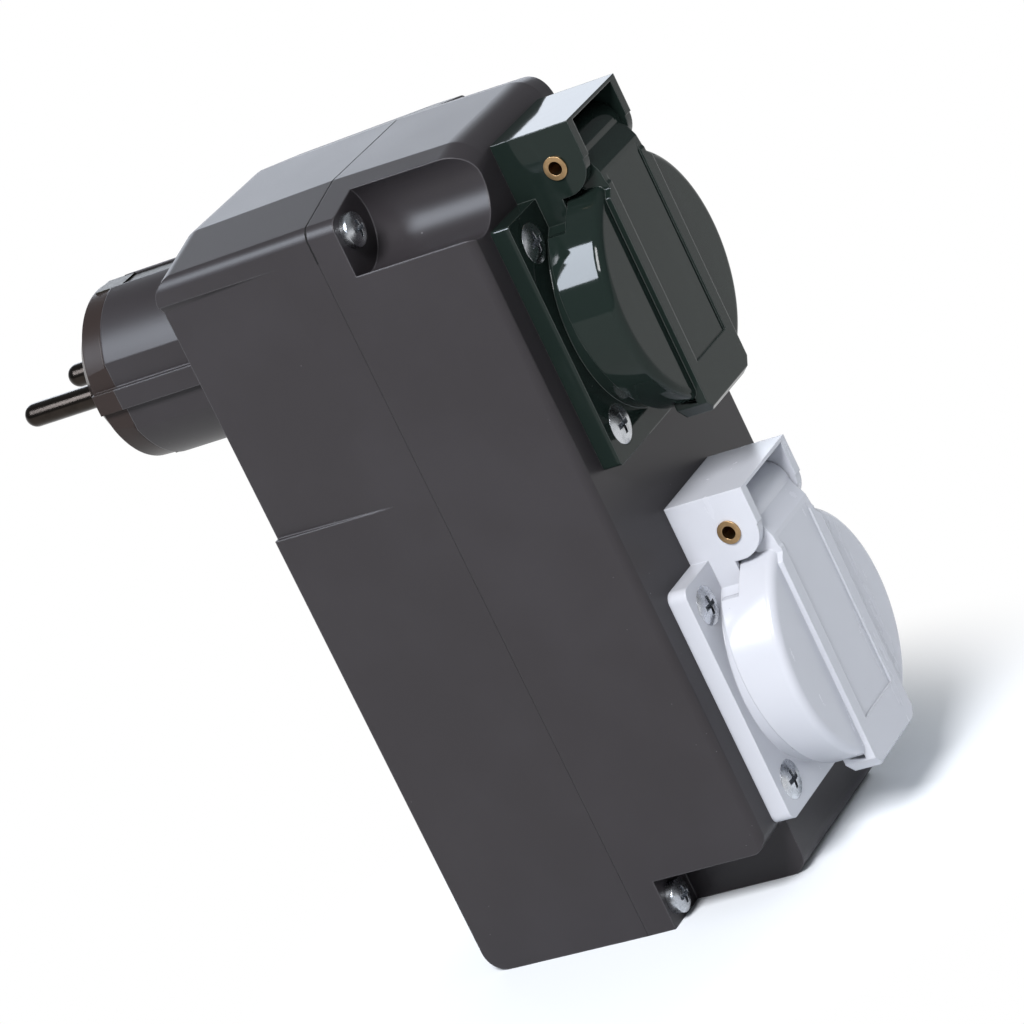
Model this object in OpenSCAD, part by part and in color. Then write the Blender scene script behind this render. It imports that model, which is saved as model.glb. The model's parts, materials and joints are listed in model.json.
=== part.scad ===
// Automatic switch-on adapter: a plug-in box with two flange sockets under spring lids.
// +Z runs up the housing, the sockets face -Y, the plug points along +Y, and z = 0 is the base it stands on.

/* [Housing] */
// Width of the housing at the parting line
body_w = 64.6; // [63:0.2:70]
// Depth of the housing between its front and rear faces
body_d = 68.5; // [66:0.5:72]
// Distance of the middle of that depth behind y = 0
middle_y = 1.25; // [0:0.25:2]
// Height of the housing
body_h = 156; // [155:1:162]
// Distance of the parting line in front of y = 0
parting_offset = 1.3; // [0:0.1:4]
// Wall thickness of the two shells
wall = 2.4; // [2:0.1:2.8]
// Draft angle of the moulded walls
draft = 1; // [0.2:0.1:1.4]
// Width of the flat middle of the top
top_flat_w = 30; // [26:1:34]
// Drop of the sloped strip on each side of the top
slope_drop = 3.4; // [2.4:0.1:4.4]
// Radius of the long edges between the slopes and the sides
shoulder_r = 3; // [2:0.2:3.4]
// Radius of the front shell's upright edges
front_edge_r = 2; // [1.4:0.2:3]
// Radius of the edge between the front face and the top
front_top_r = 6; // [4:0.5:7]
// Radius of the edge between the front face and the base
front_base_r = 4; // [3:0.5:5]
// Radius of the edges between the rear face and the top and base
rear_end_r = 4.6; // [3:0.2:6]

/* [Side recess] */
// Height of its lower step above the base
recess_low = 97; // [90:1:104]
// Height of its upper edge below the housing's top
recess_below_top = 8.6; // [7:0.2:10]
// Depth at the rear edge
recess_depth = 1.2; // [0.6:0.1:1.4]
// Distance behind the parting line at which it fades out
recess_fade = 8.5; // [6:0.5:12]

/* [Screw pockets] */
// Distance of the upper screws inside the housing's sides
top_screw_in = 5; // [4.7:0.1:5.5]
// Distance of the upper screws below the top
top_screw_below = 7.2; // [6.8:0.1:8]
// Distance of the lower screws inside the housing's sides
base_screw_in = 4.8; // [4.5:0.1:5.3]
// Height of the lower screws above the base
base_screw_z = 4.6; // [4.4:0.1:5]
// Radius of the half-round groove above each upper screw
groove_r = 8.8; // [8:0.1:9.2]
// Width of the notch above each lower screw
notch_w = 11.8; // [10:0.2:13]
// Height of that notch
notch_h = 10.6; // [10:0.2:12]
// Radius of the edge between that notch's ceiling and the front face
notch_edge_r = 3; // [1:0.5:3.5]
// Distance of the screw ledges in front of the parting line
ledge_offset = 6.2; // [5:0.1:8]
// Radius of the housing screws' heads
housing_head_r = 3.4; // [3:0.1:3.6]
// Height of those heads
housing_head_h = 2.4; // [1.8:0.1:3]
// Radius of the housing screws' shanks
housing_shank_r = 1.9; // [1.6:0.1:2.1]
// Length of the housing screws under the head
housing_screw_l = 22; // [16:1:28]
// Radius of the screw bosses
boss_r = 4.2; // [3.8:0.1:4.4]

/* [Plug] */
// Distance of the plug's axis below the top
plug_below_top = 26.6; // [24:0.2:28]
// Radius of the plug tube
tube_r = 18.2; // [18:0.1:19]
// Length of the plug tube behind the rear face
tube_l = 27.4; // [25:0.1:30]
// Radius of the bore of the plug tube
tube_bore_r = 13.4; // [13:0.1:13.8]
// Depth of the side flats under the tube's round surface
flat_depth = 1.5; // [1.2:0.1:1.8]
// Width of the rib along each flat
key_w = 4.3; // [3.6:0.1:4.6]
// Height of that rib above the flat
key_h = 1.3; // [1:0.1:1.4]
// Distance between the rear face and the start of the rib
key_start = 8.5; // [6:0.5:12]
// Depth of the insert's ring under the tube's round surface
ring_step = 0.3; // [0.2:0.1:0.5]
// Width of that ring
ring_l = 5.3; // [4:0.1:7]
// Length of the chamfered nose in front of the ring
nose_l = 3; // [2:0.1:4]
// Radius of the nose's end face
nose_r = 13.6; // [13:0.1:15]
// Radius of the plug's pins
pin_r = 2.4; // [2.3:0.05:2.5]
// Length of the pins beyond the insert
pin_l = 19; // [18.5:0.1:19.5]
// Radius of the part of each pin that is held in the insert
pin_root_r = 2.9; // [2.7:0.1:3.2]
// Distance between the two pins
pin_pitch = 19; // [18.8:0.1:19.2]
// Width of the earth strips
strip_w = 6; // [5:0.2:7]
// Thickness of the earth strips
strip_t = 0.8; // [0.6:0.1:1]
// Depth of the strips' outer faces under the tube's round surface
strip_depth = 0.7; // [0.6:0.1:1]
// Length of the thicker guard at the strips' ends
guard_l = 6.5; // [5:0.5:8]

/* [Sockets] */
// Height of the lower socket's centre above the base
lower_z = 37.5; // [36.5:0.5:39]
// Distance between the two socket centres
socket_pitch = 77; // [76:0.5:78]
// Side of the square flanges
flange_w = 50; // [49:0.5:51]
// Thickness of the flanges
flange_t = 4; // [3.6:0.1:4.4]
// Corner radius of the upper flange
upper_corner_r = 0.6; // [0.4:0.1:2]
// Corner radius of the lower flange
lower_corner_r = 2; // [0.4:0.1:3]
// Distance between the flange screws
hole_pitch = 38; // [37.5:0.1:38.5]
// Radius of the round well that takes a plug
well_r = 19.75; // [19.5:0.05:19.9]
// Depth of the well
well_depth = 17.5; // [17:0.1:18]
// Wall of the round collar round the well
collar_t = 2.5; // [1.8:0.1:2.6]
// Height of the collar's rim above the face of the housing
collar_h = 13.2; // [12.8:0.1:13.3]
// Thickness of the floor of the well
floor_t = 2.2; // [1.8:0.1:2.6]
// Radius of the barrel that passes through the front shell
barrel_r = 21.6; // [21.4:0.1:21.8]
// Distance between the middle and the guide pads in the well
pad_x = 17.2; // [17:0.1:17.6]
// Distance of the guide pads' edges from the slot's middle
pad_low = 2.4; // [2.3:0.1:2.8]
// Distance of the guide pads' outer edges from the slot's middle
pad_high = 6.5; // [5:0.5:7]
// Radius of the pin holes in the floor
entry_r = 2.6; // [2.55:0.05:2.7]
// Radius of the flange screws' heads
flange_head_r = 3.9; // [3.5:0.1:4]
// Radius of the flange screws' shanks
flange_shank_r = 1.7; // [1.5:0.1:1.8]
// Length of the flange screws behind the flange
flange_screw_l = 9; // [7:0.5:10]

/* [Lids] */
// Outer radius of the round lids
lid_r = 24.2; // [24:0.1:24.4]
// Height of the lid's centre above the socket's centre
lid_rise = 0.5; // [0.4:0.1:0.6]
// Wall of the lids
lid_t = 1.2; // [1:0.1:1.3]
// Thickness of the lid's front plate
plate_t = 1.8; // [1.4:0.1:2]
// Distance of the lid's rear edge from the face of the housing, at the lid's middle
lid_back = 7; // [6.8:0.1:7.4]
// Slant of that edge, which leaves the face further down
lid_slant = 4.6; // [3:0.2:5]
// Distance of the lid's front from the face of the housing
lid_front = 16.8; // [16.4:0.1:17]
// Radius of the round edge of the lid's front
lid_edge_r = 1.7; // [1.2:0.1:1.8]
// Half width of the raised band down the middle
band_half = 10.7; // [10.4:0.1:11.2]
// Height of the raised band
band_rise = 1.1; // [0.8:0.1:1.2]
// Distance of the finger tab's end below the socket's centre
tab_low = 25; // [24.8:0.1:26]
// Depth of the finger tab
tab_depth = 6.7; // [5:0.1:8]
// Width of the sunk panel
panel_w = 15; // [13:0.5:17]
// Depth of the sunk panel
panel_depth = 0.4; // [0.2:0.1:0.5]
// Distance of the panel's lower end below the socket's centre
panel_low = 15.3; // [14:0.1:17]
// Height of its upper end above the socket's centre
panel_high = 25.4; // [24:0.1:26]

/* [Hinges] */
// Height of the hinge axis above the socket's centre
hinge_up = 29.3; // [29.2:0.1:29.5]
// Distance of the hinge axis from the face of the housing
hinge_out = 10.8; // [10.6:0.1:10.9]
// Half width of the hinge housing
cheek_half = 11.7; // [11.4:0.1:12]
// Thickness of the two cheeks
cheek_t = 2.2; // [1.8:0.1:2.4]
// Radius of the cheeks round the axis
cheek_r = 6; // [5.8:0.1:6.1]
// Distance of the cheeks' front from the face of the housing
cheek_front = 17.1; // [16.8:0.1:17.2]
// Height of the hinge housing's top above the axis
hood_up = 7.8; // [7.7:0.1:8.2]
// Thickness of the hinge housing's top wall
hood_t = 1.4; // [1.2:0.1:1.5]
// Thickness of that wall's front lip
hood_lip = 0.65; // [0.6:0.05:0.7]
// Radius of the lid's knuckle
knuckle_r = 4.9; // [4.7:0.1:5]
// Outer radius of the tubular hinge pin
hinge_pin_r = 2; // [1.8:0.1:2.2]
// Radius of the hole through the hinge pin
hinge_hole_r = 1.35; // [1:0.05:1.4]
// Radius of the rolled rims of the hinge pin
hinge_rim_r = 2.35; // [2.3:0.05:2.8]
// Width of the rolled rims
hinge_rim_w = 0.4; // [0.3:0.1:0.6]
// Wire thickness of the closing spring
spring_wire = 0.8; // [0.6:0.1:0.8]
// Distance between the turns of the closing spring
spring_pitch = 1.25; // [1.2:0.05:1.3]
// Turns of the closing spring
spring_turns = 5; // [3:1:5]

/* [Inside] */
// Width of the circuit board
board_w = 50; // [48:1:52]
// Height of the circuit board
board_h = 92; // [90:1:94]
// Thickness of the circuit board
board_t = 1.6; // [1.2:0.1:2]
// Height of the board's lower edge above the base
board_low = 14; // [13:0.5:16]
// Distance of the board's front face behind y = 0
board_y = 8; // [7:0.5:9]
// Thickness of the wires
wire_d = 2.4; // [1.8:0.1:2.6]
// Width of the transformer
transformer_w = 28; // [24:0.5:30]
// Depth of the transformer
transformer_d = 18; // [15:0.5:20]
// Height of the transformer
transformer_h = 24; // [20:0.5:24.5]
// Width of the relay
relay_w = 29; // [24:0.5:30]
// Depth of the relay
relay_d = 15.7; // [13:0.1:18]
// Height of the relay
relay_h = 12.8; // [11:0.1:13]
// Width of the film capacitor
film_w = 18; // [14:0.5:19]
// Depth of the film capacitor
film_d = 14.5; // [11:0.5:17]
// Radius of the filter capacitors
can_r = 5; // [4:0.1:5.4]
// Length of the filter capacitors
can_l = 16; // [12:0.5:19]
// Radius of the varistor
varistor_r = 6; // [4.5:0.1:6.5]
// Radius of the fuse's tube
fuse_r = 2.3; // [2:0.1:2.6]
// Length of the fuse with its caps
fuse_l = 20; // [18:0.5:21]

/* [Fits] */
// Running clearance of the hinge pins
pivot_gap = 0.06; // [0.03:0.01:0.09]
// Clearance round pieces that are held without play
fit_gap = 0.05; // [0.03:0.01:0.1]
// Clearance round the screws in their through holes
screw_gap = 0.3; // [0.2:0.05:0.4]
// Clearance between a lid and what it closes on
lid_gap = 0.2; // [0.15:0.05:0.3]
// Clearance between the lid's arm and the cheeks
side_gap = 0.4; // [0.3:0.05:0.5]

/* [Hidden] */
$fn = 96;
over = 1;
front_y = middle_y - body_d / 2;
rear_y = middle_y + body_d / 2;
parting_y = -parting_offset;
edge_bite = 0.05;
rear_len = rear_y - parting_y;
front_len = parting_y - front_y;
ledge_y = parting_y - ledge_offset;
tilt = atan(slope_drop / (body_w / 2 - top_flat_w / 2));
top_screw_x = body_w / 2 - top_screw_in;
top_screw_z = body_h - top_screw_below;
screw_spots = [[top_screw_x, top_screw_z], [body_w / 2 - base_screw_in, base_screw_z]];
plug_z = body_h - plug_below_top;
tube_end = rear_y + tube_l;
ring_end = tube_end + ring_l;
nose_end = ring_end + nose_l;
pin_end = nose_end + pin_l;
strap_y = tube_end - 14.3;
strap_end = ring_end - 1.4;
strip_out = tube_r - strip_depth;
guard_h = 0.35;
ring_edge = 0.4;
flat_x = tube_r - flat_depth;
key_x = flat_x + key_h;
ring_r = tube_r - ring_step;
insert_r = tube_bore_r - fit_gap;
pin_back = 8;
upper_z = lower_z + socket_pitch;
well_floor = well_depth - collar_h;
floor_back = well_floor + floor_t;
clip_z = well_r - 1.15;
clip_w = 6;
clip_t = 0.8;
carrier_r = 20.2;
carrier_l = 14;
contact_r = 3.4;
contact_l = 11;
lug_r = 2.2;
lug_end = floor_back + carrier_l + 1.5;
lug_y = front_y + lug_end;
flange_head_h = 2;
flange_dome_h = 0.7;
flange_boss_r = flange_shank_r + 1.6;
hinge_len = 2 * cheek_half + 2 * hinge_rim_w;
hood_back_t = 1.5;
web_out = 9.2;
lid_step_z = 18.2;
seal_in = 0.6;
tab_cut = 2.5;
arm_half = cheek_half - cheek_t - side_gap;
band_front = lid_front + band_rise;
under_hood = hood_up - hood_lip - 0.3;
spring_gap = 0.4;
spring_r = hinge_pin_r + spring_gap + spring_wire / 2;
spring_half = spring_turns * spring_pitch / 2;
pocket_r = spring_r + spring_wire / 2 + spring_gap;
pocket_half = spring_half + spring_wire / 2 + 0.3;
leg_tip = spring_r * [1, 1] + [0.2, 0.1];
slot_r = norm(leg_tip) + 3 * spring_gap;
board_back = board_y + board_t;
post_x = board_w / 2 - 4;
post_spots = [for (z = [board_low + 5, board_low + board_h - 5]) for (s = [-1, 1]) [s * post_x, z]];
post_r = 3.2;
board_screw_r = 1.4;
block_w = 50;
block_h = 12;
block_front = -4;
block_z = (lower_z + upper_z) / 2;
block_top = block_z + block_h / 2;
block_low = block_z - block_h / 2;
wire_y = 2;
wire_lead = 4;

// A rod along Y from y0 to y1
module rod_y(r, y0, y1, x = 0, z = 0) {
    translate([x, y1, z]) rotate([90, 0, 0]) cylinder(r = r, h = y1 - y0);
}

// A rod along X, centred on the middle
module rod_x(r, length) {
    rotate([0, 90, 0]) cylinder(r = r, h = length, center = true);
}

// A box from one corner to the opposite one
module box(low, high) {
    translate(low) cube(high - low);
}

// Copies on the left and on the right
module both_sides() {
    children();
    mirror([1, 0, 0]) children();
}

// An outline in the plane of Y and Z, run along X over a width about the middle
module run_x(width) {
    rotate([90, 0, 90]) linear_extrude(width, center = true) children();
}

// An outline of radius and distance in front of the housing's face, turned about the Y axis
module turn_y() {
    rotate([90, 0, 0]) rotate_extrude() children();
}

// A drafted outline: across from lo to hi, along from start to len, its far corners rounded unless their radius is 0
module drafted(lo, hi, start, len, lo_draft, hi_draft, lo_r, hi_r) {
    lo_c = [lo + (len - lo_r) * tan(lo_draft) + lo_r / cos(lo_draft), len - lo_r];
    hi_c = [hi - (len - hi_r) * tan(hi_draft) - hi_r / cos(hi_draft), len - hi_r];
    polygon(concat(
        [[lo + start * tan(lo_draft), start], [hi - start * tan(hi_draft), start]],
        hi_r > 0 ? [hi_c + hi_r * [cos(hi_draft), sin(hi_draft)], hi_c] : [],
        [[hi_c[0], len], [lo_c[0], len]],
        lo_r > 0 ? [lo_c, lo_c + lo_r * [-cos(lo_draft), sin(lo_draft)]] : []
    ));
    if (lo_r > 0) translate(lo_c) circle(lo_r);
    if (hi_r > 0) translate(hi_c) circle(hi_r);
}

// The space under one sloped strip of the top, which falls and is rounded along Y as the flat middle is
module under_slope(high, start, len, top_r) {
    translate([top_flat_w / 2, 0, high]) rotate([0, tilt, 0]) run_x(6 * body_w) mirror([1, -1, 0])
        drafted(-2 * body_h, 0, start, len, 0, atan(tan(draft) * cos(tilt)), 0, top_r);
}

// The form of one shell, from the parting plane outwards along +Y, drawn in by inset on every wall
module shell_form(len, inset, start, top_r, base_r) {
    high = body_h - inset;
    half = body_w / 2 - inset;
    intersection() {
        linear_extrude(body_h + over)
            drafted(-half, half, start, len - inset, draft, draft, 0, 0);
        run_x(body_w) mirror([1, -1, 0])
            drafted(inset, high, start, len - inset, 0, draft, base_r, top_r);
        under_slope(high, start, len - inset, top_r);
        mirror([1, 0, 0]) under_slope(high, start, len - inset, top_r);
    }
}

// What lies outside a round corner between two faces whose outward normals point at angles a and b
module corner_outside(r, a, b) difference() {
    polygon(2 * r * [[0, 0], [cos(a), sin(a)], [cos(a) + cos(b), sin(a) + sin(b)], [cos(b), sin(b)]]);
    circle(r);
}

// What rounds the long edge between a slope and a side, from the parting plane outwards along +Y
module shoulder_cut(len) {
    reach = shoulder_r - edge_bite;
    centre_x = body_w / 2 - reach;
    centre_z = body_h - (centre_x - top_flat_w / 2) * tan(tilt) - reach / cos(tilt);
    translate([centre_x, 0, centre_z]) rotate([-atan(tan(draft) * (1 - tan(tilt))), 0, draft])
        translate([0, len + over, 0]) rotate([90, 0, 0]) linear_extrude(len + 2 * over)
            corner_outside(shoulder_r, 0, 90 - tilt);
}

// What rounds an upright edge of the front shell, with the front face at y = len
module upright_cut(len) {
    reach = front_edge_r - edge_bite;
    translate([body_w / 2 - (len - reach) * tan(draft) - reach / cos(draft), len - reach, -over])
        linear_extrude(body_h + 2 * over) corner_outside(front_edge_r, draft, 90);
}

module rear_form() translate([0, parting_y, 0]) difference() {
    shell_form(rear_len, 0, 0, rear_end_r, rear_end_r);
    both_sides() shoulder_cut(rear_len);
}

module front_form() translate([0, parting_y, 0]) mirror([0, 1, 0]) difference() {
    shell_form(front_len, 0, 0, front_top_r, front_base_r);
    both_sides() {
        shoulder_cut(front_len);
        upright_cut(front_len);
    }
}

module rear_room() {
    translate([0, parting_y, 0]) shell_form(rear_len, wall, -over, 0, rear_end_r - wall);
}

module front_room() {
    translate([0, parting_y, 0]) mirror([0, 1, 0])
        shell_form(front_len, wall, -over, front_top_r - wall, front_base_r - wall);
}

// The shallow recess that tapers out towards the parting line
module side_recess() {
    rear_x = body_w / 2 - rear_len * tan(draft);
    fade_x = body_w / 2 - recess_fade * tan(draft);
    translate([0, parting_y, recess_low])
        linear_extrude(body_h - recess_below_top - recess_low)
            polygon([
                [fade_x, recess_fade], [rear_x - recess_depth, rear_len], [rear_x - recess_depth, rear_len + over],
                [body_w, rear_len + over], [body_w, recess_fade]
            ]);
}

// Half-round grooves and open notches that lead to the four housing screws, grown by a wall
module screw_pockets(grow, back_y) {
    both_sides() {
        rod_y(groove_r + grow, front_y - over, back_y, top_screw_x, top_screw_z);
        box([body_w / 2 - notch_w - grow, front_y - over, -over], [body_w, back_y, notch_h + grow]);
    }
}

// What rounds the edge between the ceiling of each notch and the front face
module notch_edges() both_sides() translate([body_w / 2 - notch_w, 0, notch_h])
    rotate([90, 0, 90]) linear_extrude(notch_w + over) difference() {
        translate([front_y - over, -over]) square(notch_edge_r + over);
        translate([front_y + notch_edge_r, notch_edge_r]) circle(notch_edge_r);
    }

// The tube of the plug with its two flats and the rib on each, about the plug's axis
module plug_tube() {
    difference() {
        rod_y(tube_r, rear_y - wall, tube_end);
        both_sides() box([flat_x, rear_y, -tube_r], [tube_r + over, tube_end + over, tube_r]);
    }
    both_sides() box([tube_bore_r, rear_y + key_start, -key_w / 2], [key_x, tube_end, key_w / 2]);
}

module rear_shell() color("#48464a") difference() {
    union() {
        difference() {
            rear_form();
            rear_room();
            both_sides() side_recess();
        }
        intersection() {
            rear_form();
            both_sides() for (spot = screw_spots) rod_y(boss_r, parting_y, rear_y, spot[0], spot[1]);
        }
        for (spot = post_spots) rod_y(post_r, board_back, rear_y - wall / 2, spot[0], spot[1]);
        translate([0, 0, plug_z]) plug_tube();
    }
    rod_y(tube_bore_r, parting_y, tube_end + over, 0, plug_z);
    both_sides() for (spot = screw_spots)
        rod_y(housing_shank_r + fit_gap, parting_y - over, ledge_y + housing_screw_l + over, spot[0], spot[1]);
    for (spot = post_spots) rod_y(board_screw_r + fit_gap, board_back - over, board_back + 12, spot[0], spot[1]);
    translate([0, 0, plug_z])
        box([-strip_w / 2 - fit_gap, strap_y - fit_gap, -tube_r - over], [strip_w / 2 + fit_gap, tube_end + over, tube_r + over]);
}

module front_shell() color("#3c373a") difference() {
    union() {
        difference() {
            front_form();
            front_room();
        }
        intersection() {
            front_form();
            union() {
                screw_pockets(wall, parting_y);
                for (z = [lower_z, upper_z]) at_flange_holes(z)
                    rod_y(flange_boss_r, front_y + wall / 2, front_y + flange_screw_l + 2);
            }
        }
    }
    screw_pockets(0, ledge_y);
    notch_edges();
    both_sides() for (spot = screw_spots)
        rod_y(housing_shank_r + screw_gap, ledge_y - over, parting_y + over, spot[0], spot[1]);
    for (z = [lower_z, upper_z]) {
        rod_y(barrel_r + lid_gap * 2, front_y - over, front_y + wall + over, 0, z);
        at_flange_holes(z) rod_y(flange_shank_r + fit_gap, front_y - over, front_y + flange_screw_l + 1);
    }
}

// The four screw places of a flange whose centre lies at height z
module at_flange_holes(z) {
    for (x = [-1, 1]) for (up = [-1, 1])
        translate([x * hole_pitch / 2, 0, z + up * hole_pitch / 2]) children();
}

// A cross recess, cut into a head whose top lies at y = 0
module cross_recess(width, depth) {
    for (turn = [0, 90]) rotate([0, turn, 0])
        box([-width / 2, -over, -width / 8], [width / 2, depth, width / 8]);
}

module housing_screws() color("#b9bcc0") both_sides() for (spot = screw_spots)
    translate([spot[0], ledge_y, spot[1]]) difference() {
        union() {
            turn_y() intersection() {
                square([housing_head_r, housing_head_h]);
                translate([0, housing_head_h - 2 * housing_head_r]) circle(2 * housing_head_r);
            }
            rod_y(housing_shank_r, -over / 2, housing_screw_l);
        }
        translate([0, -housing_head_h, 0]) cross_recess(housing_head_r, housing_head_h / 2);
    }

module plug_insert() color("#1b1a1c") translate([0, 0, plug_z]) difference() {
    union() {
        rod_y(insert_r, strap_y + strip_t, tube_end);
        box([-strip_w / 2, strap_y + strip_t, -strip_out + strip_t], [strip_w / 2, tube_end, strip_out - strip_t]);
        difference() {
            rotate([-90, 0, 0]) rotate_extrude() polygon([
                [0, tube_end], [ring_r - ring_edge, tube_end], [ring_r, tube_end + ring_edge],
                [ring_r - ring_edge / 2, ring_end - ring_edge], [ring_r - 2 * ring_edge, ring_end],
                [nose_r, nose_end], [0, nose_end]
            ]);
            both_sides() box([flat_x, tube_end - over, -ring_r], [ring_r + over, ring_end + over, ring_r]);
        }
        both_sides() box([flat_x - over, tube_end, -key_w / 2], [key_x, ring_end, key_w / 2]);
    }
    for (x = [-1, 1]) rod_y(pin_root_r + fit_gap, strap_y, nose_end + over, x * pin_pitch / 2);
    for (up = [0, 1]) mirror([0, 0, up])
        box([-strip_w / 2 - fit_gap, strap_y - over, strip_out - strip_t], [strip_w / 2 + fit_gap, strap_end + fit_gap, tube_r]);
}

module plug_pins() color("#c9c8c4") for (x = [-1, 1]) translate([x * pin_pitch / 2, 0, plug_z]) {
    rod_y(pin_root_r, strap_y - pin_back, nose_end);
    rod_y(pin_r, nose_end - over, pin_end - pin_r);
    translate([0, pin_end - pin_r, 0]) rotate([-90, 0, 0]) rotate_extrude() intersection() {
        circle(pin_r);
        square(pin_r + over);
    }
    rod_y(pin_root_r + 1, strap_y - pin_back, strap_y + strip_t);
}

module plug_earth_strap() color("#c8b27a") translate([0, 0, plug_z]) run_x(strip_w) {
    inner = strip_out - strip_t;
    guard = strip_out + guard_h;
    guard_y = strap_end - guard_l;
    polygon([
        [strap_y, -strip_out], [guard_y, -strip_out], [guard_y, -guard], [strap_end, -guard],
        [strap_end, -inner], [strap_y + strip_t, -inner], [strap_y + strip_t, inner], [strap_end, inner],
        [strap_end, guard], [guard_y, guard], [guard_y, strip_out], [strap_y, strip_out]
    ]);
}

// The pieces of one socket are drawn about its centre on the front face of the housing
module at_socket(z) {
    translate([0, front_y, z]) children();
}

module at_hinge() {
    translate([0, -hinge_out, hinge_up]) children();
}

// The side outline of one cheek of the hinge housing, in Y and Z about the socket's centre
module cheek_outline() {
    translate([-hinge_out, hinge_up]) circle(cheek_r);
    translate([-cheek_front, hinge_up]) square([cheek_front, hood_up]);
    translate([-hinge_out, hinge_up - cheek_r]) square([hinge_out, cheek_r + hood_up]);
}

module hinge_housing() {
    foot_low = sqrt(pow(well_r + collar_t, 2) - pow(cheek_half, 2)) - 1;
    ceiling = hinge_up + hood_up - hood_t;
    lip_ceiling = hinge_up + hood_up - hood_lip;
    difference() {
        run_x(2 * cheek_half) cheek_outline();
        run_x(2 * (cheek_half - cheek_t)) polygon([
            [-hood_back_t, 0], [-hood_back_t, ceiling], [-hinge_out - 1.5, ceiling], [-hinge_out - 2.6, lip_ceiling],
            [-2 * cheek_front, lip_ceiling], [-2 * cheek_front, 0]
        ]);
    }
    both_sides() box([cheek_half - cheek_t / 2, -web_out, foot_low], [cheek_half, -flange_t / 2, hinge_up]);
}

module flange(corner_r) {
    side = flange_w / 2;
    difference() {
        rotate([90, 0, 0]) linear_extrude(flange_t) difference() {
            square(flange_w, center = true);
            for (turn = [0, 90, 180, 270]) rotate(turn) translate([side - corner_r, side - corner_r]) difference() {
                square(corner_r + over);
                circle(corner_r);
            }
        }
        at_flange_holes(0) {
            rod_y(flange_shank_r + screw_gap, -flange_t - over, over);
            translate([0, -flange_t, 0]) rotate([-90, 0, 0])
                cylinder(r1 = flange_head_r, r2 = flange_shank_r + screw_gap, h = flange_head_h);
        }
    }
}

module socket_body(corner_r) difference() {
    union() {
        flange(corner_r);
        rod_y(well_r + collar_t, -collar_h, 0);
        rod_y(barrel_r, -over, floor_back);
        hinge_housing();
    }
    difference() {
        rod_y(well_r, -collar_h - over, well_floor);
        both_sides() for (low = [pad_low, -pad_high])
            box([pad_x, -collar_h + 3, low], [well_r + over, well_floor + over, low + pad_high - pad_low]);
    }
    for (x = [-1, 1]) rod_y(entry_r, well_floor - over, floor_back + over, x * pin_pitch / 2);
    for (up = [-1, 1]) translate([0, 0, up * clip_z])
        box([-clip_w / 2 - 0.2, well_floor - over, -clip_t], [clip_w / 2 + 0.2, floor_back + over, clip_t]);
    at_hinge() rod_x(hinge_pin_r + fit_gap, 3 * cheek_half);
}

// The carrier behind the floor, with a chamber round each contact and a groove for the earth clips
module contact_carrier() difference() {
    rod_y(carrier_r, floor_back, floor_back + carrier_l);
    for (x = [-1, 1]) {
        rod_y(contact_r + fit_gap, floor_back - over, floor_back + contact_l + fit_gap, x * pin_pitch / 2);
        rod_y(lug_r + fit_gap, floor_back, lug_end + over, x * pin_pitch / 2);
    }
    box([-clip_w / 2 - 0.1, floor_back - over, -carrier_r - over], [clip_w / 2 + 0.1, floor_back + clip_t + fit_gap, carrier_r + over]);
    rod_y(lug_r + fit_gap, floor_back - over, lug_end + over);
}

module contacts() for (x = [-1, 1]) translate([x * pin_pitch / 2, 0, 0]) difference() {
    union() {
        rod_y(contact_r, floor_back, floor_back + contact_l);
        rod_y(lug_r, floor_back + contact_l - over, lug_end);
    }
    rod_y(entry_r, floor_back - over, floor_back + contact_l - 2);
    box([-0.4, floor_back - over, -contact_r - over], [0.4, floor_back + contact_l - 3, contact_r + over]);
}

// Two springy strips in the well, joined behind its floor, with a lug through the carrier
module earth_clips() {
    run_x(clip_w) {
        for (up = [0, 1]) mirror([0, up]) polygon([
            [floor_back, clip_z - 0.3], [floor_back + clip_t, clip_z + 0.5], [floor_back, clip_z + 0.5],
            [well_floor - 6, clip_z + 0.5], [well_floor - 10, clip_z - 0.9], [well_floor - 12, clip_z],
            [well_floor - 12, clip_z - clip_t], [well_floor - 10, clip_z - 1.7], [well_floor - 6, clip_z - 0.3]
        ]);
        translate([floor_back, -clip_z - 0.5]) square([clip_t, 2 * clip_z + 1]);
    }
    rod_y(lug_r, floor_back + clip_t / 2, lug_end);
}

module flange_screws() at_flange_holes(0) translate([0, -flange_t, 0]) difference() {
    dome_r = (pow(flange_head_r, 2) + pow(flange_dome_h, 2)) / (2 * flange_dome_h);
    union() {
        rotate([-90, 0, 0]) cylinder(r1 = flange_head_r, r2 = flange_shank_r, h = flange_head_h);
        turn_y() intersection() {
            square([flange_head_r, flange_dome_h]);
            translate([0, flange_dome_h - dome_r]) circle(dome_r);
        }
        rod_y(flange_shank_r, 0, flange_t + flange_screw_l);
    }
    translate([0, -flange_dome_h, 0]) cross_recess(flange_head_r, 0.8 * flange_head_h);
}

module hinge_pin() color("#b08d4a") at_hinge() difference() {
    union() {
        rod_x(hinge_pin_r, hinge_len);
        both_sides() translate([cheek_half + hinge_rim_w / 2, 0, 0]) rod_x(hinge_rim_r, hinge_rim_w);
    }
    rod_x(hinge_hole_r, hinge_len + over);
}

// A tube along a path of points, with one ring of corners at each point
function unit(v) = v / norm(v);
function path_tangent(path, i) = unit(path[min(i + 1, len(path) - 1)] - path[max(i - 1, 0)]);
function ring_points(centre, along, r, sides) =
    let (out = unit(cross(along, [1, 0, 0])), across = cross(along, out))
    [for (k = [0 : sides - 1]) centre + r * (cos(k * 360 / sides) * out + sin(k * 360 / sides) * across)];

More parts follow.
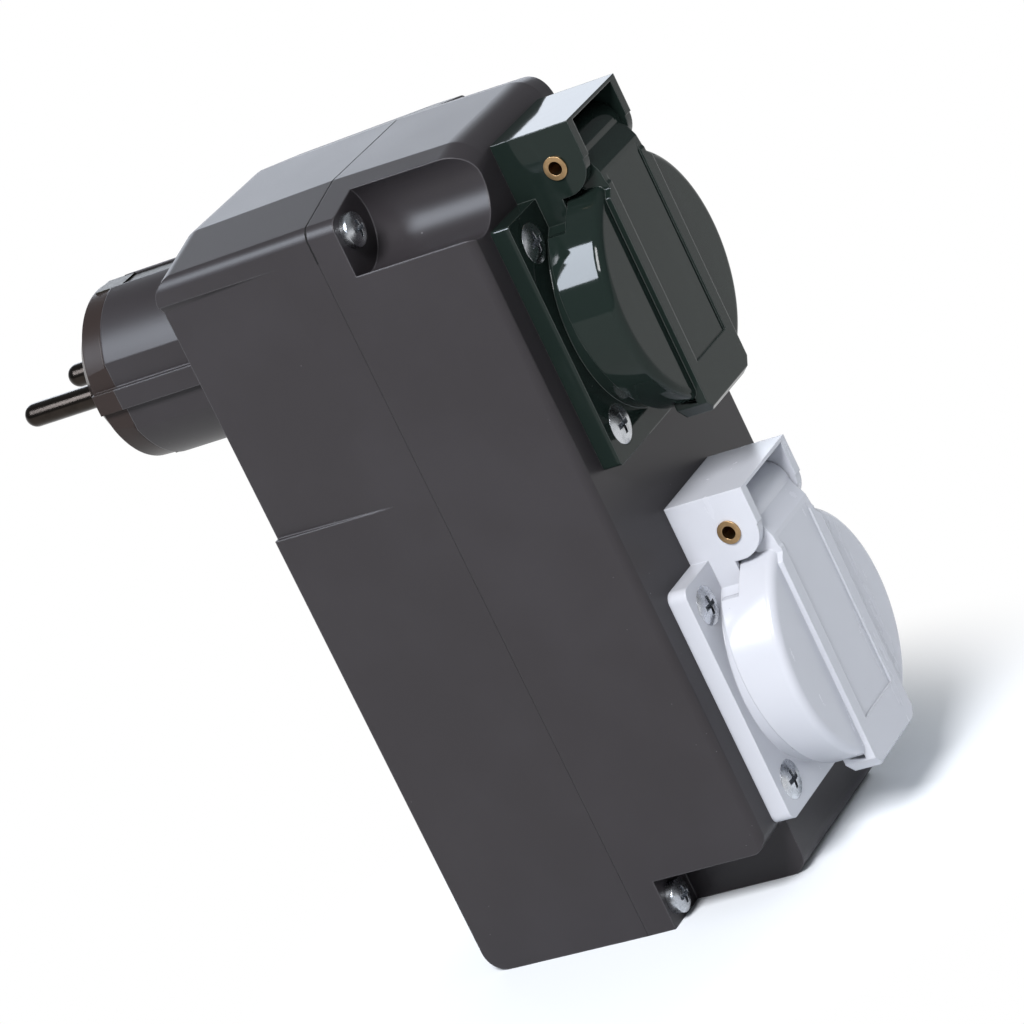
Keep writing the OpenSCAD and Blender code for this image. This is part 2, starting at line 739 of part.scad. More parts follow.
module path_tube(path, r, sides) {
    rings = len(path);
    points = [for (i = [0 : rings - 1]) each ring_points(path[i], path_tangent(path, i), r, sides)];
    walls = [
        for (i = [0 : rings - 2]) for (k = [0 : sides - 1])
            let (a = i * sides + k, b = i * sides + (k + 1) % sides)
            each [[a, a + sides, b], [b, a + sides, b + sides]]
    ];
    caps = [
        for (k = [1 : sides - 2]) each [[0, k, k + 1], [(rings - 1) * sides, (rings - 1) * sides + k + 1, (rings - 1) * sides + k]]
    ];
    polyhedron(points = points, faces = concat(walls, caps));
}

// A smooth curve through chosen points, with a number of steps on each stretch
function at_end(p, i) = p[max(0, min(i, len(p) - 1))];
function blend(a, b, c, d, t) =
    0.5 * (2 * b + (c - a) * t + (2 * a - 5 * b + 4 * c - d) * t * t + (3 * b - a - 3 * c + d) * t * t * t);
function smooth(p, steps) = concat(
    [for (i = [0 : len(p) - 2]) for (s = [0 : steps - 1])
        blend(at_end(p, i - 1), p[i], p[i + 1], at_end(p, i + 2), s / steps)],
    [p[len(p) - 1]]
);

// The closing spring: a leg on the flange, its turns round the hinge pin and a leg in the lid
module hinge_spring() color("#c4c6c8") at_hinge() {
    steps = 12;
    leg_back = hinge_out - flange_t + 1.5;
    leg_drop = hinge_up - flange_w / 2 - spring_wire / 2 - 0.02;
    turns = [
        for (k = [0 : spring_turns * steps])
            let (angle = k * 360 / steps)
            [-spring_half + k * spring_pitch / steps, -spring_r * sin(angle), -spring_r * cos(angle)]
    ];
    path_tube(concat(
        [[-spring_half, leg_back, -leg_drop], [-spring_half, leg_back / 2, -(spring_r + leg_drop) / 2]],
        turns,
        [[spring_half, -spring_r / 2, -spring_r - 0.02], [spring_half, -leg_tip[0], -leg_tip[1]]]
    ), spring_wire / 2, 6);
}

// The round cap with its slanted rear edge, about the socket's centre
module lid_cap() difference() {
    translate([0, 0, lid_rise]) turn_y() union() {
        square([lid_r, lid_front - lid_edge_r]);
        square([lid_r - lid_edge_r, lid_front]);
        translate([lid_r - lid_edge_r, lid_front - lid_edge_r]) circle(lid_edge_r);
    }
    translate([0, -lid_back, 0]) rotate([-lid_slant, 0, 0])
        box([-lid_r - over, 0, -2 * lid_r], [lid_r + over, 2 * lid_back, 2 * lid_r]);
    box([-lid_r - over, -web_out - lid_gap, lid_step_z], [lid_r + over, over, 2 * lid_r]);
}

// The raised band with its finger tab at the low end and the arm at the high end
module lid_band() {
    band_top = lid_r - 3.8;
    arm_low = lid_r - 2.4;
    plate_mid = lid_front - plate_t / 2;
    intersection() {
        rotate([90, 0, 0]) linear_extrude(band_front) polygon([
            [-band_half + tab_cut, -tab_low], [band_half - tab_cut, -tab_low], [band_half, -tab_low + tab_cut],
            [band_half, band_top], [arm_half, arm_low], [arm_half, hinge_up], [-arm_half, hinge_up],
            [-arm_half, arm_low], [-band_half, band_top], [-band_half, -tab_low + tab_cut]
        ]);
        run_x(2 * band_half) polygon([
            [-band_front, -tab_low + 1], [-band_front + 1, -tab_low], [-band_front + tab_depth, -tab_low],
            [-band_front + tab_depth, -tab_low + 4], [-plate_mid, -lid_r + 2], [-plate_mid, lid_r - 4],
            [-hinge_out, hinge_up - knuckle_r + 0.6], [-hinge_out, hinge_up], [-hinge_out - knuckle_r + 0.1, hinge_up],
            [-hinge_out - under_hood + 0.25, hinge_up - 4], [-hinge_out - under_hood, hinge_up - 6.2],
            [-band_front, hinge_up - 6.7]
        ]);
    }
}

// Cap, band and knuckle, less the room inside, the sunk panel, the pin's hole and the spring's pocket and slot
module lid() difference() {
    union() {
        lid_cap();
        lid_band();
        at_hinge() rod_x(knuckle_r, 2 * arm_half);
    }
    rod_y(lid_r - lid_t, -lid_front + plate_t, over, 0, lid_rise);
    box([-panel_w / 2, -band_front - over, -panel_low], [panel_w / 2, -band_front + panel_depth, panel_high]);
    at_hinge() {
        rod_x(hinge_pin_r + pivot_gap, 3 * band_half);
        rod_x(pocket_r, 2 * pocket_half);
        box([-pocket_half, 0, -pocket_r - spring_gap], [pocket_half, knuckle_r + over, knuckle_r + over]);
        intersection() {
            rod_x(slot_r, 2 * pocket_half);
            box([spring_half - spring_wire, -slot_r, -slot_r], [pocket_half, slot_r, -leg_tip[1] + spring_wire]);
        }
    }
}

module lid_seal() translate([0, 0, lid_rise]) turn_y() {
    translate([well_r - seal_in, collar_h + lid_gap])
        square([lid_r - lid_t - well_r + seal_in - 0.1, lid_front - plate_t - collar_h - lid_gap]);
}

module upper_socket_body() color("#262a2b") at_socket(upper_z) socket_body(upper_corner_r);
module upper_contact_carrier() color("#2e2c2a") at_socket(upper_z) contact_carrier();
module upper_contacts() color("#c2a24c") at_socket(upper_z) contacts();
module upper_earth_clips() color("#c8b27a") at_socket(upper_z) earth_clips();
module upper_flange_screws() color("#c9ccd0") at_socket(upper_z) flange_screws();
module upper_hinge_pin() at_socket(upper_z) hinge_pin();
module upper_hinge_spring() at_socket(upper_z) hinge_spring();
module upper_lid() color("#26302e") at_socket(upper_z) lid();
module upper_lid_seal() color("#151515") at_socket(upper_z) lid_seal();

module lower_socket_body() color("#c3c5cb") at_socket(lower_z) socket_body(lower_corner_r);
module lower_contact_carrier() color("#2e2c2a") at_socket(lower_z) contact_carrier();
module lower_contacts() color("#c2a24c") at_socket(lower_z) contacts();
module lower_earth_clips() color("#c8b27a") at_socket(lower_z) earth_clips();
module lower_flange_screws() color("#c9ccd0") at_socket(lower_z) flange_screws();
module lower_hinge_pin() at_socket(lower_z) hinge_pin();
module lower_hinge_spring() at_socket(lower_z) hinge_spring();
module lower_lid() color("#b9bbc3") at_socket(lower_z) lid();
module lower_lid_seal() color("#151515") at_socket(lower_z) lid_seal();

module circuit_board() color("#2f6b3a") difference() {
    box([-board_w / 2, board_y, board_low], [board_w / 2, board_back, board_low + board_h]);
    for (spot = post_spots) rod_y(board_screw_r + screw_gap, board_y - over, board_back + over, spot[0], spot[1]);
}

module board_screws() color("#c9ccd0") for (spot = post_spots) {
    rod_y(2.8, board_y - 1.8, board_y, spot[0], spot[1]);
    rod_y(board_screw_r, board_y - 0.9, board_back + 10, spot[0], spot[1]);
}

// A place on the rear face of the board
module on_board(x, z) {
    translate([x, board_back, z]) children();
}

// A block on the board, its height along Z
module block(width, depth, height, from = 0) {
    box([-width / 2, from, -height / 2], [width / 2, depth, height / 2]);
}

module transformer() on_board(-8, board_low + 20.6) {
    window = transformer_w / 4;
    color("#8a8d90") difference() {
        block(transformer_w, transformer_d, transformer_h);
        for (x = [-1, 1]) translate([x * 0.3 * transformer_w, 0, 0])
            block(window, transformer_d + over, transformer_h * 2 / 3, -over);
    }
    color("#7d4a1f") for (x = [-1, 1]) translate([x * 0.3 * transformer_w, 0, 0])
        block(window - 0.4, transformer_d - 1, transformer_h * 2 / 3 - 0.4, 1);
}

module relay() color("#e8e6dc") on_board(-4, board_low + 62) difference() {
    block(relay_w, relay_d, relay_h);
    both_sides() translate([relay_w / 2, 0, 0]) block(0.8, relay_d - 0.7, 0.8 * relay_h, -over);
}

module film_capacitor() color("#3c5ea8") on_board(13, board_low + 44) block(film_w, film_d, 8);

module filter_capacitors() color("#22252c") for (z = [16, 30]) on_board(16, board_low + z) difference() {
    rod_y(can_r, 0, can_l);
    translate([0, can_l - 1.4, 0]) rotate([-90, 0, 0]) rotate_extrude() translate([can_r + 0.2, 0]) circle(0.5);
}

module varistor() color("#2d5fa5") on_board(-16, board_low + 44) {
    translate([0, varistor_r + 1, 0]) rod_x(varistor_r, 4);
    for (z = [-1, 1]) rod_y(0.5, 0, 4, 0, z * varistor_r / 2);
}

module fuse() on_board(-4, board_low + 78) {
    axis_up = fuse_r + 2.7;
    cap_x = 0.4 * fuse_l;
    color("#d8dadc") for (x = [-1, 1]) translate([x * cap_x, axis_up, 0]) rod_x(fuse_r + 0.3, fuse_l / 4);
    color("#e6e6dc") translate([0, axis_up, 0]) rod_x(fuse_r, 0.65 * fuse_l);
    color("#d8dadc") for (x = [-1, 1]) translate([x * cap_x, 0, 0]) block(1.2, axis_up - 2, 3);
}

module terminal_block() color("#3a3c40") difference() {
    box([-block_w / 2, block_front, block_low], [block_w / 2, board_y, block_top]);
    for (x = [-20, -14, -4, 4, 14, 20]) {
        rod_y(1.6, block_front - over, block_front + 4, x, block_z);
    }
}

// A wire whose first and last stretches are straight and square to what they meet
module wire(path) {
    last = len(path) - 1;
    middle = [for (i = [1 : last - 1]) path[i]];
    path_tube(concat([path[0]], smooth(middle, 4), [path[last]]), wire_d / 2, 8);
}

// The wires of one pole, from its pin to the block and from there to a contact of each socket
module pole_wires() {
    pole_x = pin_pitch / 2;
    wire([[pole_x, strap_y - pin_back, plug_z], [pole_x, 26, plug_z], [14, 8, 120], [14, wire_y, 100], [14, wire_y, block_top]]);
    wire([[pole_x, lug_y, upper_z], [pole_x, lug_y + wire_lead, upper_z], [20, -4, 106], [20, wire_y, 94], [20, wire_y, block_top]]);
    wire([[pole_x, lug_y, lower_z], [pole_x, lug_y + wire_lead, lower_z], [20, -4, 46], [20, wire_y, 58], [20, wire_y, block_low]]);
}

module neutral_wires() color("#2f66b5") pole_wires();
module live_wires() color("#6b4326") mirror([1, 0, 0]) pole_wires();

module earth_wires() color("#b7c23a") {
    wire([[0, strap_y, plug_z], [0, 26, plug_z], [4, 8, 120], [4, wire_y, 100], [4, wire_y, block_top]]);
    wire([[0, lug_y, upper_z], [0, lug_y + wire_lead, upper_z], [-4, -4, 106], [-4, wire_y, 94], [-4, wire_y, block_top]]);
    wire([[0, lug_y, lower_z], [0, lug_y + wire_lead, lower_z], [-4, -4, 46], [-4, wire_y, 58], [-4, wire_y, block_low]]);
}

rear_shell();
front_shell();
housing_screws();
plug_insert();
plug_pins();
plug_earth_strap();
upper_socket_body();
upper_contact_carrier();
upper_contacts();
upper_earth_clips();
upper_flange_screws();
upper_hinge_pin();
upper_hinge_spring();
upper_lid();
upper_lid_seal();
lower_socket_body();
lower_contact_carrier();
lower_contacts();
lower_earth_clips();
lower_flange_screws();
lower_hinge_pin();
lower_hinge_spring();
lower_lid();
lower_lid_seal();
circuit_board();
board_screws();
transformer();
relay();
film_capacitor();
filter_capacitors();
varistor();
fuse();
terminal_block();
live_wires();
neutral_wires();
earth_wires();
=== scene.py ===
import json
from math import cos, pi, radians, sin

import bpy
from mathutils import Matrix, Vector

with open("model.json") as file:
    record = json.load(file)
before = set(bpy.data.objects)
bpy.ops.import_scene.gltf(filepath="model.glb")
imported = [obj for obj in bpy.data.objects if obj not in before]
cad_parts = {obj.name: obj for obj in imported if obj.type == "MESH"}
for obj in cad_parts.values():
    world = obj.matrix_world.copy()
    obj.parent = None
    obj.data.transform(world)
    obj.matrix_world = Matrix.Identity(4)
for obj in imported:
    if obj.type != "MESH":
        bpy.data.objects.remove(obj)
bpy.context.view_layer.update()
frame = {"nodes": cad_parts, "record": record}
nodes = frame["nodes"]
mm = 0.001
print("frame loaded:", len(nodes), "nodes")


def plug(tree, place, value):  # a wire is linked, a number or colour is set
    if isinstance(value, Wire):
        tree.links.new(value.socket, place)
    else:
        place.default_value = value


def addNode(tree, kind, settings=None, inputs=None, output=0):
    node = tree.nodes.new(kind)
    for name, value in (settings or {}).items():
        setattr(node, name, value)
    for name, value in (inputs or {}).items():
        plug(tree, node.inputs[name], value)
    return Wire(tree, node.outputs[output])


# a socket that can stand in a sum
class Wire:
    def __init__(self, tree, socket):
        self.tree = tree
        self.socket = socket

    def math(self, operation, *values):
        return addNode(self.tree, "ShaderNodeMath", {"operation": operation}, dict(enumerate(values)))

    def __add__(self, other):
        return self.math("ADD", self, other)

    def __radd__(self, other):
        return self.math("ADD", other, self)

    def __sub__(self, other):
        return self.math("SUBTRACT", self, other)

    def __rsub__(self, other):
        return self.math("SUBTRACT", other, self)

    def __mul__(self, other):
        return self.math("MULTIPLY", self, other)

    def __rmul__(self, other):
        return self.math("MULTIPLY", other, self)

    def __abs__(self):
        return self.math("ABSOLUTE", self)

    def above(self, edge):
        return self.math("GREATER_THAN", self, edge)

    def below(self, edge):
        return self.math("LESS_THAN", self, edge)

    def most(self, other):
        return self.math("MAXIMUM", self, other)

    def beside(self, name):  # another output of the same node
        return Wire(self.tree, self.socket.node.outputs[name])

    def fade(self, low, high):  # 0 at low, 1 at high, eased between
        return addNode(
            self.tree, "ShaderNodeMapRange", {"interpolation_type": "SMOOTHSTEP"},
            {"Value": self, "From Min": low, "From Max": high}, "Result")


edgeTurn = (0.02, 0.22)  # lean of the rounded normal from the flat one where an edge starts and is full


# one material while it is being wired
class Finish:
    def __init__(self, name):
        self.material = bpy.data.materials.new(name)
        self.material.use_nodes = True
        self.tree = self.material.node_tree
        self.shader = self.tree.nodes["Principled BSDF"]
        self.at = self.add("ShaderNodeTexCoord", output="Object")

    def add(self, kind, settings=None, inputs=None, output=0):
        return addNode(self.tree, kind, settings, inputs, output)

    def axis(self, name):
        return self.add("ShaderNodeSeparateXYZ", inputs={"Vector": self.at}, output=name)

    # noise whose bumps are about size metres across
    def grain(self, size, detail=2.0, roughness=0.5, stretch=(1, 1, 1)):
        place = self.add("ShaderNodeVectorMath", {"operation": "MULTIPLY"}, {0: self.at, 1: stretch})
        return self.add("ShaderNodeTexNoise", inputs={
            "Vector": place, "Scale": 1 / size, "Detail": detail, "Roughness": roughness})

    def dots(self, spacing, radius, share):  # 1 on scattered round specks, on that share of the places
        cells = self.add("ShaderNodeTexVoronoi", inputs={"Vector": self.at, "Scale": 1 / spacing})
        draw = cells.beside("Color")
        chance = self.add("ShaderNodeSeparateColor", inputs={"Color": draw}, output="Red")
        return cells.beside("Distance").below(radius / spacing) * chance.above(1 - share)

    # of the mix node, inputs 6 and 7 and output 2 are the colours
    def blend(self, factor, first, second):
        return self.add("ShaderNodeMix", {"data_type": "RGBA"}, {
            "Factor": factor, 6: colour(first), 7: colour(second)}, output=2)

    def edges(self, width):  # 1 along edges, 0 on flats
        rounded = self.add("ShaderNodeBevel", {"samples": 6}, {"Radius": width})
        flat = self.add("ShaderNodeNewGeometry", output="Normal")
        facing = self.add(
            "ShaderNodeVectorMath", {"operation": "DOT_PRODUCT"}, {0: rounded, 1: flat}, "Value")
        return (1 - facing).fade(*edgeTurn)

    def relief(self, height, depth, edgeRadius=0.0):  # a bump of that depth over softened edges
        inputs = {"Height": height, "Distance": depth, "Strength": 1.0}
        if edgeRadius:
            inputs["Normal"] = self.add("ShaderNodeBevel", {"samples": 8}, {"Radius": edgeRadius})
        return self.add("ShaderNodeBump", inputs=inputs)

    def set(self, **values):  # sockets of the shader by name, with _ for a space
        for name, value in values.items():
            plug(self.tree, self.shader.inputs[name.replace("_", " ")], value)
        return self.material


def colour(value):
    return (*value, 1.0) if isinstance(value, tuple) and len(value) == 3 else value


# stage

camera = {
    "place": Vector((-862.8, -536.5, 356.8)) * mm,
    "aim": Vector((0.0, 4.7, 79.0)) * mm,
    "lens": 192.7,
    "sensor": 36,
    "sees": (0.05, 50),  # nearest and farthest distance
    "lean": 26.02,  # degrees that the camera leaned to one side
}


def placedBy(place, x, y, z):  # the matrix of an object at that place with those axes
    return Matrix.Translation(place) @ Matrix((x, y, z)).transposed().to_4x4()


def placeCamera():
    data = bpy.data.cameras.new("camera")
    data.lens = camera["lens"]
    data.sensor_width = camera["sensor"]
    data.clip_start, data.clip_end = camera["sees"]
    holder = bpy.data.objects.new("camera", data)
    bpy.context.scene.collection.objects.link(holder)
    back = (camera["place"] - camera["aim"]).normalized()
    side = Vector((0, 0, 1)).cross(back).normalized()
    up = back.cross(side)
    lean = radians(camera["lean"])
    imageUp = up * cos(lean) + side * sin(lean)
    imageSide = side * cos(lean) - up * sin(lean)
    holder.matrix_world = placedBy(camera["place"], imageSide, imageUp, back)
    bpy.context.scene.camera = holder


floor = {
    "reach": 6.0,
    "drop": 0.02 * mm,  # below the base, so that the two faces don't fight
    "colour": (0.76, 0.785, 0.815),
    "whiteFrom": 0.045,  # from here outwards it turns plain white for the camera and for reflections
    "whiteBy": 0.105,
}


def seenRays(tree):  # 1 for the rays that show a background, 0 for those that light a surface
    direct = addNode(tree, "ShaderNodeLightPath", output="Is Camera Ray")
    seen = direct.most(direct.beside("Is Glossy Ray"))
    return seen.most(direct.beside("Is Transmission Ray"))


def layFloor():
    bpy.ops.mesh.primitive_plane_add(size=2 * floor["reach"], location=(0, 0, -floor["drop"]))
    sheet = bpy.context.object
    sheet.name = "floor"
    paper = Finish("whitePaper")
    paper.set(Base_Color=colour(floor["colour"]), Roughness=0.9, Specular_IOR_Level=0.1)
    away = paper.add("ShaderNodeVectorMath", {"operation": "LENGTH"}, {0: paper.at}, "Value")
    lift = seenRays(paper.tree) * away.fade(floor["whiteFrom"], floor["whiteBy"])
    white = paper.add("ShaderNodeEmission", inputs={"Color": (1, 1, 1, 1), "Strength": 1.0})
    mixed = paper.add("ShaderNodeMixShader", inputs={
        0: lift, 1: Wire(paper.tree, paper.shader.outputs[0]), 2: white})
    output = paper.tree.nodes["Material Output"]
    plug(paper.tree, output.inputs["Surface"], mixed)
    sheet.data.materials.append(paper.material)


# softboxes: where they hang, how long and wide they are and which way the long side runs,
# how bright a white card in them would be, and whether they light surfaces and show in glossy ones
lamps = {
    "left": {"place": (-1.25, -0.22, 1.33), "size": (0.75, 0.6), "along": (0, 1, 0),
             "glow": 34, "tint": (0.975, 0.98, 1.0), "lights": True, "mirrored": True},
    "right": {"place": (1.80, -0.50, 0.90), "size": (1.2, 0.9), "along": (0, 1, 0),
              "glow": 5.5, "tint": (0.92, 0.96, 1.0), "lights": True, "mirrored": False},
    "window": {"place": (-1.12, 0.95, 1.29), "size": (0.98, 0.32), "along": (0.736, 0, 0.677),
               "glow": 36, "tint": (0.82, 0.89, 1.0), "lights": False, "mirrored": True},
    "back": {"place": (1.75, 1.15, 0.62), "size": (1.3, 0.8), "along": (-0.55, 0.83, 0),
             "glow": 2.85, "tint": (0.84, 0.90, 1.0), "lights": True, "mirrored": True},
}
lampAim = Vector((0, 0, 0.08))  # the middle of the housing
sky = {"fill": 0.30, "tint": (0.92, 0.96, 1.0)}


def hangLamps():
    for name, lamp in lamps.items():
        data = bpy.data.lights.new(name, "AREA")
        data.shape = "RECTANGLE"
        data.size, data.size_y = lamp["size"]
        data.energy = lamp["glow"] * data.size * data.size_y * pi
        data.color = lamp["tint"]
        light = bpy.data.objects.new(name, data)
        place = Vector(lamp["place"])
        back = (place - lampAim).normalized()
        across = back.cross(Vector(lamp["along"])).normalized()
        along = across.cross(back)
        light.matrix_world = placedBy(place, along, across, back)
        light.visible_diffuse = lamp["lights"]
        light.visible_glossy = lamp["mirrored"]
        bpy.context.scene.collection.objects.link(light)


def paintSky():
    world = bpy.data.worlds.new("studio")
    world.use_nodes = True
    bpy.context.scene.world = world
    background = world.node_tree.nodes["Background"]
    background.inputs["Color"].default_value = colour(sky["tint"])
    background.inputs["Strength"].default_value = sky["fill"]


placeCamera()
layFloor()
hangLamps()
paintSky()
print("stage ready")


# finishes: sizes in metres, dust as spacing, radius and the share of places that have a speck,
# a spread as the noise values at which something begins and is full

housing = {
    "tone": (0.0245, 0.0218, 0.0240),
    "dusty": (0.036, 0.033, 0.037),
    "rubbedAndHighlit": (0.105, 0.100, 0.108),  # along the edges: wear, and a painted highlight where the edges catch light
    "speck": (0.16, 0.15, 0.16),
    "roughness": 0.33,
    "grainSize": 0.30 * mm,
    "grainDepth": 0.006 * mm,
    "grainRough": 0.04,
    "cloudSize": 24 * mm,
    "cloudSpread": (0.35, 0.75),
    "cloudShare": 0.3,
    "cloudRough": 0.06,
    "edgeRadius": 0.5 * mm,
    "edgeWearAndHighlight": 0.7,
    "largeDust": (7 * mm, 0.2 * mm, 0.35),
    "smallDust": (2.6 * mm, 0.09 * mm, 0.25),
    "dustShare": 0.7,
    "dustHeight": 2,  # in grain depths
}
seam = {
    "y": -1.3 * mm,
    "tone": (0.006, 0.006, 0.006),
    "half": 0.07 * mm,
    "wider": 0.11 * mm,  # so much more on the top
    "topFrom": 146 * mm,
    "sideShare": 0.15,
    "topShare": 0.75,  # added to the share on the sides
    "raggedSize": 1.2 * mm,
    "ragged": 0.25 * mm,
    "rough": 0.6,
    "depth": 12,  # in grain depths
    "bare": 0.9 * mm,  # no worn and painted-highlight edge this near to the seam
}


def housingPlastic():
    finish = Finish("housingPlastic")
    grain = finish.grain(housing["grainSize"], detail=3.0, roughness=0.6)
    cloud = finish.grain(housing["cloudSize"], detail=3.0, roughness=0.55)
    onTop = finish.axis("Z").above(seam["topFrom"])
    ragged = (finish.grain(seam["raggedSize"], detail=2.0, roughness=0.6) - 0.5) * seam["ragged"] * onTop
    away = abs(finish.axis("Y") + ragged - seam["y"])
    line = (away - onTop * seam["wider"]).below(seam["half"])
    clear = seam["sideShare"] + onTop * seam["topShare"]
    edge = finish.edges(housing["edgeRadius"]) * away.above(seam["bare"])
    dust = finish.dots(*housing["largeDust"]).most(finish.dots(*housing["smallDust"]))
    tone = finish.blend(
        cloud.fade(*housing["cloudSpread"]) * housing["cloudShare"], housing["tone"], housing["dusty"])
    # painted highlight: edges are lightened toward the rubbed tone, part wear and part standing in for
    # edge highlights
    tone = finish.blend(edge * housing["edgeWearAndHighlight"], tone, housing["rubbedAndHighlit"])
    tone = finish.blend(line * clear, tone, seam["tone"])
    tone = finish.blend(dust * housing["dustShare"], tone, housing["speck"])
    rough = housing["roughness"] + cloud * housing["cloudRough"] + grain * housing["grainRough"]
    rough = rough + line * clear * seam["rough"]
    height = grain - line * clear * seam["depth"] + dust * housing["dustHeight"]
    normal = finish.relief(height, housing["grainDepth"], housing["edgeRadius"])
    return finish.set(Base_Color=tone, Roughness=rough, Normal=normal, Specular_IOR_Level=0.25)


gloss = {
    "black": (0.0085, 0.0140, 0.0120),
    # worn tones: scuff wear, and along the edges a painted highlight
    "blackWornAndHighlit": (0.10, 0.11, 0.105),
    "grey": (0.475, 0.485, 0.525),
    "greyWornAndHighlit": (0.55, 0.56, 0.59),
    "plug": (0.025, 0.018, 0.0165),
    "plugWornAndHighlit": (0.060, 0.048, 0.044),
    "lightDust": (0.22, 0.23, 0.22),
    "darkDust": (0.10, 0.095, 0.09),
    "waveSize": 4.5 * mm,
    "speckSize": 0.35 * mm,
    "speckRough": 0.02,
    "speckHeight": 0.02,  # in wave depths
    "scuffSize": 9 * mm,
    "scuffStretch": (1, 1, 0.25),
    "scuffSpread": (0.55, 0.8),
    "scuffShare": 0.06,
    "scuffRoughSpread": (0.5, 0.85),
    "scuffRough": 0.07,
    "edgeRadius": 0.35 * mm,
    "edgeWidth": 0.22 * mm,
    "edgeWearAndHighlight": 0.7,
    "largeDust": (5 * mm, 0.16 * mm, 0.3),
    "smallDust": (2.2 * mm, 0.07 * mm, 0.2),
    "dustShare": 0.6,
}


def glossPlastic(name, tone, wornAndHighlit, dust, roughness, waviness, shine):
    finish = Finish(name)
    waves = finish.grain(gloss["waveSize"], detail=1.0, roughness=0.4)
    specks = finish.grain(gloss["speckSize"], detail=2.0, roughness=0.6)
    scuffs = finish.grain(gloss["scuffSize"], detail=4.0, roughness=0.7, stretch=gloss["scuffStretch"])
    edge = finish.edges(gloss["edgeWidth"])
    dirt = finish.dots(*gloss["largeDust"]).most(finish.dots(*gloss["smallDust"]))
    # scuffs are wear; the edge share is a painted highlight along the moulding edges
    wearAndHighlight = scuffs.fade(*gloss["scuffSpread"]) * gloss["scuffShare"] + edge * gloss["edgeWearAndHighlight"]
    shade = finish.blend(wearAndHighlight, tone, wornAndHighlit)
    shade = finish.blend(dirt * gloss["dustShare"], shade, dust)
    rough = roughness + scuffs.fade(*gloss["scuffRoughSpread"]) * gloss["scuffRough"]
    rough = rough + specks * gloss["speckRough"]
    normal = finish.relief(waves + specks * gloss["speckHeight"], waviness, gloss["edgeRadius"])
    return finish.set(Base_Color=shade, Roughness=rough, Normal=normal, Specular_IOR_Level=shine)


plain = {
    "lighter": 1.5,  # how much lighter the clouds are
    "lift": 0.01,
    "cloudSize": 6 * mm,
    "speckSize": 0.4 * mm,
    "speckDepth": 0.012 * mm,
    "speckRough": 0.1,
    "edgeRadius": 0.2 * mm,
}


def plainPlastic(name, tone, rough=0.45, spread=0.25):
    finish = Finish(name)
    specks = finish.grain(plain["speckSize"], detail=3.0, roughness=0.6)
    cloud = finish.grain(plain["cloudSize"], detail=2.0, roughness=0.5)
    lighter = tuple(min(1.0, part * plain["lighter"] + plain["lift"]) for part in tone)
    shade = finish.blend(cloud * spread, tone, lighter)
    normal = finish.relief(specks, plain["speckDepth"], plain["edgeRadius"])
    return finish.set(Base_Color=shade, Roughness=rough + specks * plain["speckRough"], Normal=normal)


worked = {
    "scratchSize": 0.6 * mm,
    "scratchDepth": 0.006 * mm,
    "scratchRough": 0.14,
    "stainSize": 2.5 * mm,
    "stainSpread": (0.4, 0.75),
    "stainShare": 0.6,
    "stainRough": 0.08,
    "edgeWidth": 0.15 * mm,
    "edgeClean": 0.4,  # so much less stain along the edges
    "edgeRadius": 0.12 * mm,
}


def metal(name, tone, dull, rough, stretch=(1, 1, 1)):
    finish = Finish(name)
    scratches = finish.grain(worked["scratchSize"], detail=4.0, roughness=0.65, stretch=stretch)
    stains = finish.grain(worked["stainSize"], detail=3.0, roughness=0.6)
    edge = finish.edges(worked["edgeWidth"])
    stained = stains.fade(*worked["stainSpread"]) * worked["stainShare"] - edge * worked["edgeClean"]
    shade = finish.blend(stained.most(0.0), tone, dull)
    roughness = rough + scratches * worked["scratchRough"] + stains * worked["stainRough"]
    normal = finish.relief(scratches, worked["scratchDepth"], worked["edgeRadius"])
    return finish.set(Base_Color=shade, Roughness=roughness, Metallic=1.0, Normal=normal)


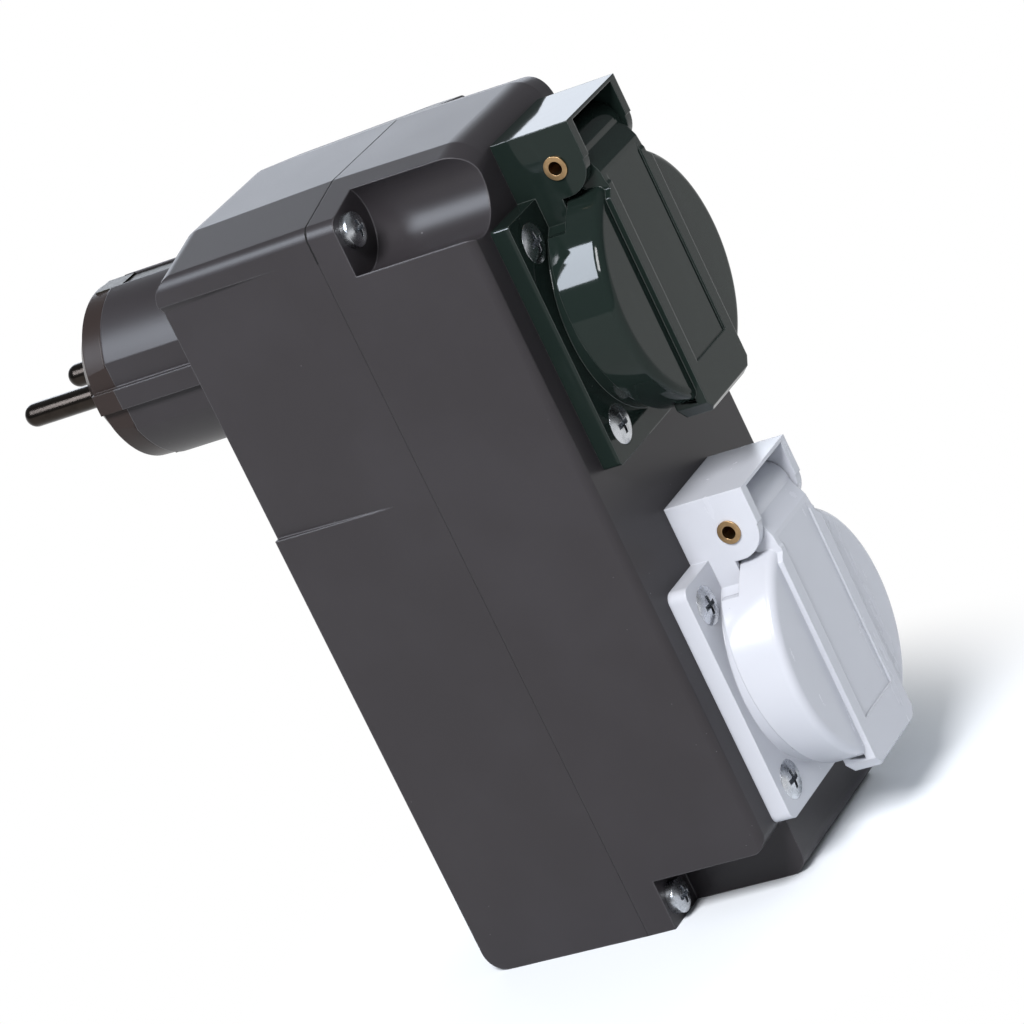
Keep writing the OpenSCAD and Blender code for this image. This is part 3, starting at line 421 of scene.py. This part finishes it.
finishes = {
    "body_plastic": housingPlastic(),
    "socket_black": glossPlastic(
        "blackMoulding", gloss["black"], gloss["blackWornAndHighlit"], gloss["lightDust"],
        roughness=0.05, waviness=0.010 * mm, shine=0.18),
    "socket_grey": glossPlastic(
        "greyMoulding", gloss["grey"], gloss["greyWornAndHighlit"], gloss["darkDust"],
        roughness=0.24, waviness=0.008 * mm, shine=0.4),
    "plug_black": glossPlastic(
        "plugMoulding", gloss["plug"], gloss["plugWornAndHighlit"], gloss["lightDust"],
        roughness=0.30, waviness=0.010 * mm, shine=0.15),
    "carrier_brown": plainPlastic("carrierMoulding", (0.06, 0.045, 0.035)),
    "zinc_steel": metal("zincPlate", (0.56, 0.58, 0.61), (0.22, 0.23, 0.25), rough=0.16),
    "pin_nickel": metal(
        "nickelPlate", (0.034, 0.028, 0.024), (0.018, 0.015, 0.013), rough=0.08, stretch=(1, 0.15, 1)),
    "strip_brass": metal("rolledStrip", (0.34, 0.32, 0.28), (0.19, 0.17, 0.15), rough=0.24),
    # painted shade: the earth strap's metal is darkened to the shade it lies in
    "plug_earth_strap": metal("shadeDarkenedStrip", (0.050, 0.047, 0.040), (0.030, 0.028, 0.024), rough=0.30),
    "contact_brass": metal("stampedBrass", (0.72, 0.56, 0.28), (0.45, 0.34, 0.16), rough=0.26),
    "rivet_brass": metal("rivetBrass", (0.50, 0.33, 0.17), (0.20, 0.12, 0.06), rough=0.20),
    "spring_steel": metal("springWire", (0.60, 0.61, 0.63), (0.36, 0.36, 0.37), rough=0.25),
    "seal_rubber": plainPlastic("sealRubber", (0.018, 0.018, 0.018), rough=0.75),
    "board_green": plainPlastic("boardLacquer", (0.03, 0.16, 0.06), rough=0.3),
    "core_steel": metal(
        "laminatedCore", (0.30, 0.31, 0.33), (0.18, 0.18, 0.19), rough=0.4, stretch=(1, 4, 1)),
    "relay_case": plainPlastic("relayCase", (0.72, 0.71, 0.66)),
    "capacitor_film": plainPlastic("filmCase", (0.06, 0.12, 0.36), rough=0.3),
    "capacitor_sleeve": plainPlastic("shrunkSleeve", (0.02, 0.02, 0.03), rough=0.3),
    "varistor_blue": plainPlastic("dippedLacquer", (0.03, 0.12, 0.38), rough=0.25),
    "fuse_ceramic": plainPlastic("fuseCeramic", (0.74, 0.74, 0.70), rough=0.3),
    "block_grey": plainPlastic("blockMoulding", (0.05, 0.05, 0.06)),
    "wire_brown": plainPlastic("brownInsulation", (0.15, 0.06, 0.02)),
    "wire_blue": plainPlastic("blueInsulation", (0.03, 0.12, 0.45)),
    "wire_earth": plainPlastic("earthInsulation", (0.35, 0.45, 0.04)),
}
print("finishes ready:", len(finishes))


def dressNodes():  # a piece takes its slot's finish, or its own if it has one
    slotOf = {part["node"]: part["material_slot"] for part in frame["record"]["subparts"]}
    for name, piece in nodes.items():
        piece.data.materials.clear()
        piece.data.materials.append(finishes.get(name, finishes[slotOf[name]]))


dressNodes()

bpy.context.scene.view_settings.view_transform = "Standard"
print("adapter dressed")
